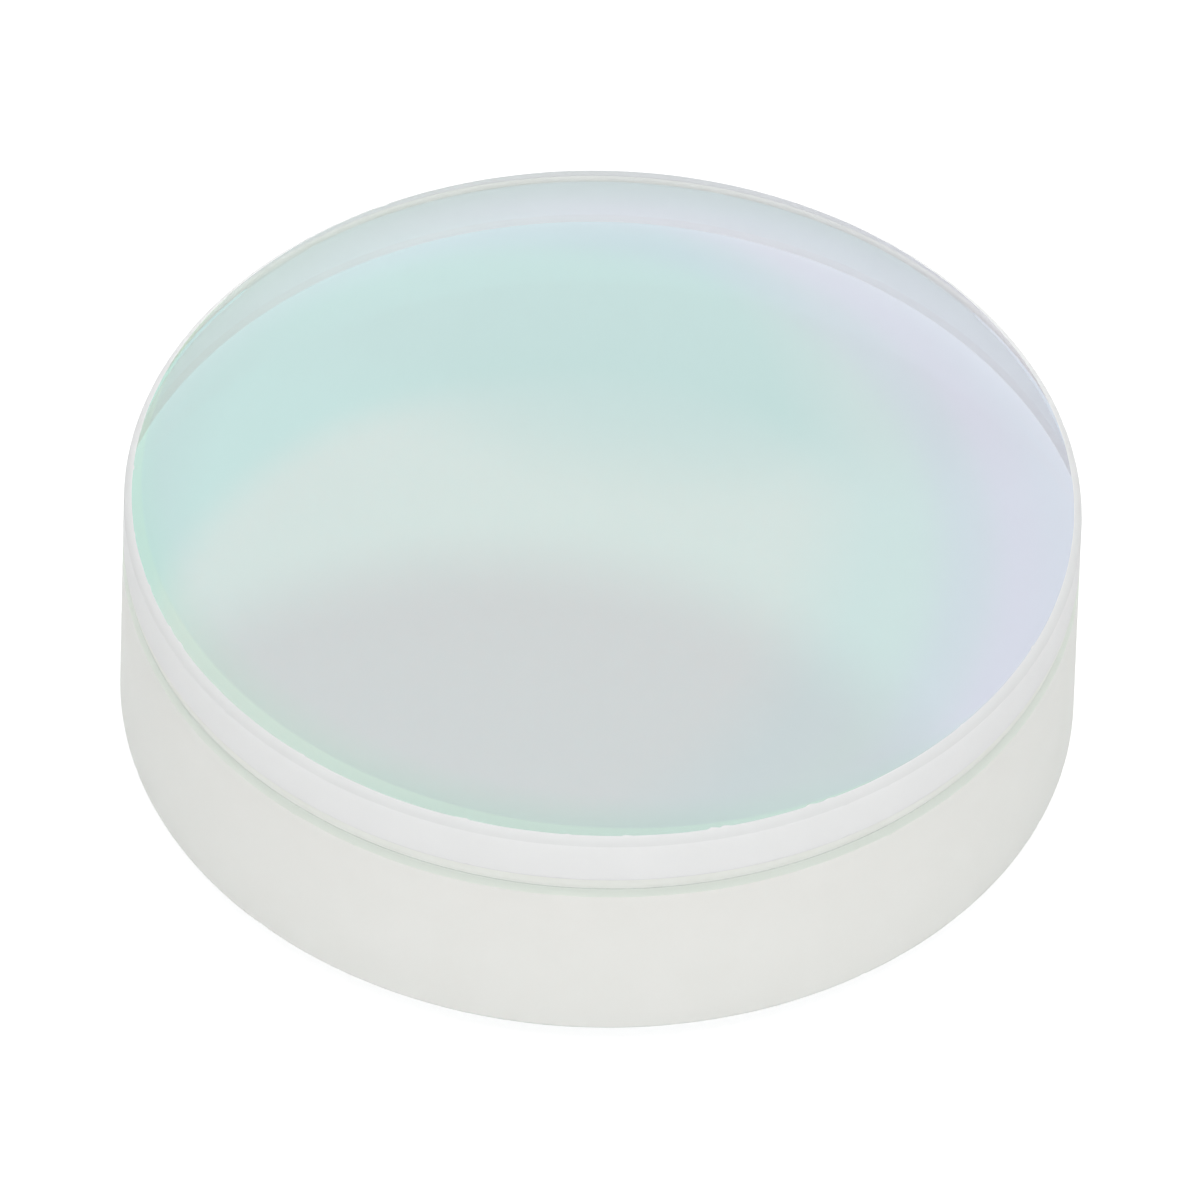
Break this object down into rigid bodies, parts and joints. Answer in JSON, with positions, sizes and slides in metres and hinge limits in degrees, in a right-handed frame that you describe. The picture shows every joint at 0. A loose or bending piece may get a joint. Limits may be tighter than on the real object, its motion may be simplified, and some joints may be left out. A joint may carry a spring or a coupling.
{
  "type": "achromatic doublet lens",
  "caption": "Cemented achromatic doublet lens with a steep coated front face and a ground glass rim; focuses near-infrared light with little colour error.",
  "frame": {"origin": "vertex of the flint element's rear face, the lowest point of the lens as it lies", "axes": "+Z along the optical axis, out of the crown element's front face; X and Y are free, because the lens is a solid of revolution"},
  "size_m": [0.0254, 0.0254, 0.0092],
  "materials": {
    "crown_glass": "polished and coated faces, fine ground rim",
    "optical_adhesive": "clear cured adhesive, slightly cream at the bead",
    "flint_glass": "polished and coated rear face, fine ground rim"
  },
  "bodies": {
    "root": {"crown_element": "crown_glass", "cement_layer": "optical_adhesive", "flint_element": "flint_glass"}
  },
  "joints": []
}
